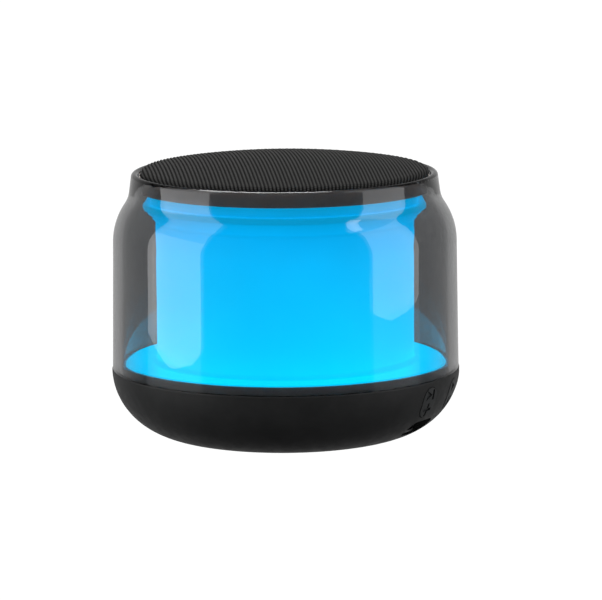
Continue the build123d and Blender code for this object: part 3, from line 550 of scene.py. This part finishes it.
# the turn moves the object in the frame, and the shift moves it back
turned = CAMERA_LENS / camera_data.sensor_width * tan(CAMERA_TURN)
camera_data.shift_x = CAMERA_SHIFT[0] + turned
camera_data.shift_y = CAMERA_SHIFT[1]
camera_data.clip_start = 0.05
camera_data.clip_end = 20.0
camera = bpy.data.objects.new("camera", camera_data)
scene.collection.objects.link(camera)
back = Vector((0, -cos(CAMERA_RISE), sin(CAMERA_RISE)))
camera.location = AIM + back * CAMERA_REACH
camera.rotation_mode = "QUATERNION"
aimed = Quaternion((0, 0, 1), CAMERA_TURN) @ (-back).to_track_quat("-Z", "Y")
camera.rotation_quaternion = aimed @ Quaternion((0, 0, 1), CAMERA_ROLL)
scene.camera = camera


def seen_straight(tree):
    """1 for rays from the camera that met clear plastic at most, else 0."""
    path = tree.nodes.new("ShaderNodeLightPath").outputs

    def math(operation, first, second):
        node = tree.nodes.new("ShaderNodeMath")
        node.operation = operation
        tree.links.new(first, node.inputs[0])
        if isinstance(second, float):
            node.inputs[1].default_value = second
        else:
            tree.links.new(second, node.inputs[1])
        return node.outputs[0]

    seen = math("MAXIMUM", path["Is Camera Ray"], path["Is Transmission Ray"])
    bounced = math("ADD", path["Glossy Depth"], path["Diffuse Depth"])
    return math("MULTIPLY", seen, math("LESS_THAN", bounced, 0.5))


def paper_floor():
    """White paper, evenly lit: seen as white, and dim in reflections."""
    surface = Surface("white_paper")
    fibre = surface.ramp(
        surface.noise(300.0, 4.0, 0.6), ((0.3, (0.93, 0.93, 0.93)), (0.7, (1, 1, 1)))
    )
    seen = surface.add("ShaderNodeEmission", Strength=PAPER_WHITE)
    surface.join(fibre, seen.inputs["Color"])
    unseen = surface.add("ShaderNodeBsdfTransparent")
    mix = surface.add("ShaderNodeMixShader")
    surface.join(seen_straight(surface.tree), mix.inputs["Fac"])
    surface.join(unseen.outputs["BSDF"], mix.inputs[1])
    surface.join(seen.outputs["Emission"], mix.inputs[2])
    surface.join(mix.outputs["Shader"], surface.output.inputs["Surface"])
    return surface.material


bpy.ops.mesh.primitive_plane_add(size=FLOOR_SIDE, location=(0, 0, FLOOR_LEVEL - FLOOR_GAP))
floor = bpy.context.object
floor.name = "floor"
floor.data.materials.append(paper_floor())


def studio_world():
    """White where seen; in reflections bright behind, dark to the front."""
    world = bpy.data.worlds.new("studio")
    scene.world = world
    world.use_nodes = True
    tree = world.node_tree
    tree.nodes.clear()

    def background(strength):
        node = tree.nodes.new("ShaderNodeBackground")
        node.inputs["Color"].default_value = (1, 1, 1, 1)
        node.inputs["Strength"].default_value = strength
        return node

    def spread(value, *numbers):
        node = tree.nodes.new("ShaderNodeMapRange")
        for index, number in zip((1, 2, 3, 4), numbers):
            node.inputs[index].default_value = number
        tree.links.new(value, node.inputs[0])
        return node.outputs[0]

    split = tree.nodes.new("ShaderNodeSeparateXYZ")
    direction = tree.nodes.new("ShaderNodeTexCoord").outputs["Generated"]
    tree.links.new(direction, split.inputs["Vector"])
    mirrored = tree.nodes.new("ShaderNodeMath")
    mirrored.operation = "MULTIPLY"
    tree.links.new(spread(split.outputs["Y"], 0.3, 0.9, 0.02, 0.52), mirrored.inputs[0])
    tree.links.new(spread(split.outputs["Z"], 0.0, 0.5, 1.0, 0.45), mirrored.inputs[1])
    # matte surfaces are lit from above rather than from below
    matte = tree.nodes.new("ShaderNodeMath")
    matte.operation = "MULTIPLY"
    depth = tree.nodes.new("ShaderNodeLightPath").outputs["Diffuse Depth"]
    tree.links.new(spread(depth, 0, 1, 0, ROOM_FILL), matte.inputs[0])
    tree.links.new(spread(split.outputs["Z"], -0.7, 0.1, 0.1, 1.0), matte.inputs[1])
    room = tree.nodes.new("ShaderNodeMath")
    room.operation = "ADD"
    tree.links.new(mirrored.outputs[0], room.inputs[0])
    tree.links.new(matte.outputs[0], room.inputs[1])
    dim = background(1.0)
    tree.links.new(room.outputs[0], dim.inputs["Strength"])
    mix = tree.nodes.new("ShaderNodeMixShader")
    tree.links.new(seen_straight(tree), mix.inputs["Fac"])
    tree.links.new(dim.outputs["Background"], mix.inputs[1])
    tree.links.new(background(PAPER_WHITE).outputs["Background"], mix.inputs[2])
    output = tree.nodes.new("ShaderNodeOutputWorld")
    tree.links.new(mix.outputs["Shader"], output.inputs["Surface"])


studio_world()


def softbox(name, centre, aim, width, height, strength):
    """Rectangular area light at centre, facing aim; its width is horizontal."""
    light = bpy.data.lights.new(name, "AREA")
    light.shape = "RECTANGLE"
    light.size = width
    light.size_y = height
    light.energy = strength * width * height * pi
    lamp = bpy.data.objects.new(name, light)
    scene.collection.objects.link(lamp)
    lamp.location = centre
    lamp.rotation_mode = "QUATERNION"
    lamp.rotation_quaternion = (Vector(aim) - Vector(centre)).to_track_quat("-Z", "Y")
    lamp.visible_camera = False
    return lamp


def standing_softbox(name, azimuth, width, bottom, top, strength):
    """Upright softbox beside the object; azimuth 0 is the front, 90 the right side."""
    turn = radians(azimuth)
    level = (bottom + top) / 2
    centre = (sin(turn) * SIDE_DISTANCE, -cos(turn) * SIDE_DISTANCE, level)
    return softbox(name, centre, (0, 0, level), width, top - bottom, strength)


standing_softbox("left_softbox", -78.6, 0.5, -0.068, 0.28, 2.2)
standing_softbox("left_softbox_top", -78.6, 0.5, 0.28, 1.04, 1.35)
standing_softbox("left_softbox_foot", -78.6, 0.5, -0.5, -0.068, 0.35)
standing_softbox("right_softbox", 77.7, 0.425, -0.052, 0.5, 1.75)
standing_softbox("right_softbox_top", 77.7, 0.425, 0.5, 0.9, 0.9)
standing_softbox("right_softbox_foot", 77.7, 0.425, -0.5, -0.052, 0.3)
softbox("roof_softbox", (-0.14, 0.3, 0.95), (-0.14, 0, 0), 0.7, 0.34, 12.0)
softbox("spark_softbox", (0.43, -0.26, 0.52), AIM, 0.09, 0.1, 3.0)
